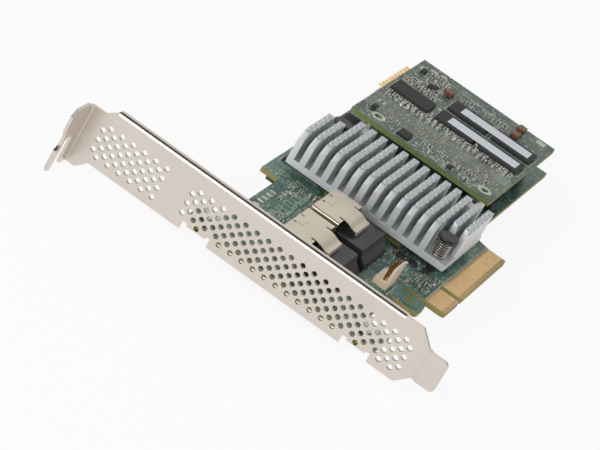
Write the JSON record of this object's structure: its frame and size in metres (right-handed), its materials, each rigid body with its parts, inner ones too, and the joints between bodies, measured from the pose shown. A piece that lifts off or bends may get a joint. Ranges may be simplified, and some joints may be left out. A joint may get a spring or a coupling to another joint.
{
  "type": "raid controller card",
  "caption": "Low-profile storage controller board on a full-height vented slot bracket, with a finned heat sink, internal cable ports and a stacked cache card.",
  "frame": {"origin": "on the bracket's outer face, in the plain band between its two fields of holes, level with the main board's component side", "axes": "+X along the board away from the bracket, +Y up the bracket towards its tab, +Z out of the component side"},
  "size_m": [0.179, 0.1209, 0.0223],
  "materials": {
    "nickel_steel": "satin",
    "screw_steel": "bright",
    "green_laminate": "solder mask",
    "gold_contact": "gold plated",
    "cast_aluminium": "matt",
    "black_plastic": "matt",
    "chip_plastic": "moulded epoxy",
    "cream_plastic": "natural nylon",
    "spring_steel": "dark",
    "solder_tin": "tinned",
    "label_film": "white film",
    "pad_compound": "soft",
    "tantalum_shell": "moulded",
    "ceramic_part": "fired",
    "lid_metal": "plated",
    "spacer_brass": "plated"
  },
  "bodies": {
    "root": {"bracket": "nickel_steel", "bracket_screws": "screw_steel", "cache_board": "green_laminate", "cache_screws": "screw_steel", "cache_spacers": "spacer_brass", "chip_resistors": "ceramic_part", "controller_lid": "lid_metal", "controller_substrate": "green_laminate", "edge_contacts": "gold_contact", "fan_header": "cream_plastic", "flash_leads": "solder_tin", "flash_memory": "chip_plastic", "header_pins": "gold_contact", "heat_sink": "cast_aluminium", "label_strip_1": "label_film", "label_strip_2": "label_film", "link_plug": "black_plastic", "link_socket": "black_plastic", "main_board": "green_laminate", "memory_chip_1": "chip_plastic", "memory_chip_2": "chip_plastic", "memory_chip_3": "chip_plastic", "memory_chip_4": "chip_plastic", "memory_chip_5": "chip_plastic", "power_inductor": "black_plastic", "push_pin_1": "black_plastic", "push_pin_2": "black_plastic", "push_pin_spring_1": "spring_steel", "push_pin_spring_2": "spring_steel", "rear_flash_chip": "chip_plastic", "regulator_chip": "chip_plastic", "sas_cage_1": "nickel_steel", "sas_cage_2": "nickel_steel", "sas_housing_1": "black_plastic", "sas_housing_2": "black_plastic", "side_header": "black_plastic", "side_header_pins": "gold_contact", "tantalum_capacitors": "tantalum_shell", "thermal_pad": "pad_compound", "under_capacitor": "ceramic_part"}
  },
  "joints": []
}
